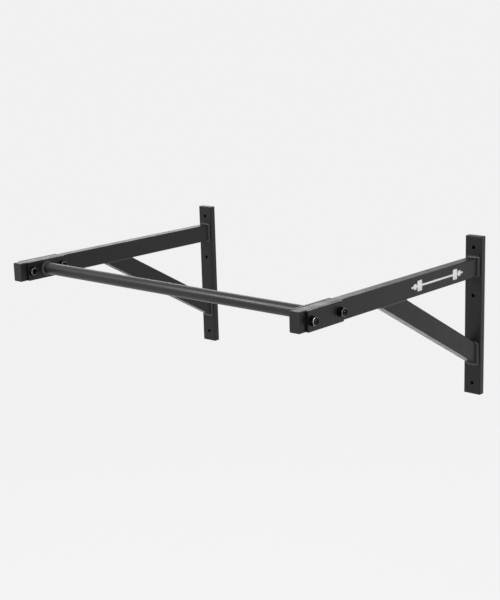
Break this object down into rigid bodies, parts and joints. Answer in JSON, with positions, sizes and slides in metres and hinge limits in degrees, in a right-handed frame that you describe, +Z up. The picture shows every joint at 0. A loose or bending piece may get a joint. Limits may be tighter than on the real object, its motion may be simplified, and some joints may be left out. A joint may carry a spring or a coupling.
{
  "type": "pull up bar",
  "caption": "Wall-mounted pull up bar: a straight round grip bar bolted between two triangular welded steel brackets.",
  "frame": {"origin": "on the wall plane, at the centre of the four outer wall-screw holes", "axes": "+X along the grip bar, +Y into the wall, +Z up"},
  "size_m": [1.043, 0.76, 0.43],
  "materials": {
    "powder_coat": "black powder coat, fine satin",
    "plate_coat": "black powder coat on flat plate",
    "bar_coat": "black powder coat, satin, lightly brushed under the coat",
    "weld_coat": "weld bead under black powder coat",
    "fastener_black": "black zinc, glossy",
    "cap_plastic": "fine-grained black plastic",
    "nylon": "dark nylon"
  },
  "bodies": {
    "root": {"left_wall_tube": "powder_coat", "left_arm_tube": "powder_coat", "left_brace_tube": "powder_coat", "left_arm_wall_weld": "weld_coat", "left_brace_wall_weld": "weld_coat", "left_brace_arm_weld": "weld_coat", "left_arm_end_cap": "cap_plastic", "left_wall_tube_top_cap": "cap_plastic", "left_wall_tube_bottom_cap": "cap_plastic", "left_bar_plate": "plate_coat", "left_backing_plate": "plate_coat", "left_bar_weld": "weld_coat", "right_wall_tube": "powder_coat", "right_arm_tube": "powder_coat", "right_brace_tube": "powder_coat", "right_arm_wall_weld": "weld_coat", "right_brace_wall_weld": "weld_coat", "right_brace_arm_weld": "weld_coat", "right_arm_end_cap": "cap_plastic", "right_wall_tube_top_cap": "cap_plastic", "right_wall_tube_bottom_cap": "cap_plastic", "right_bar_plate": "plate_coat", "right_backing_plate": "plate_coat", "right_bar_weld": "weld_coat", "grip_bar": "bar_coat", "clamp_bolts": "fastener_black", "bolt_washers": "fastener_black", "lock_nuts": "fastener_black", "nut_locking_rings": "nylon"}
  },
  "joints": []
}
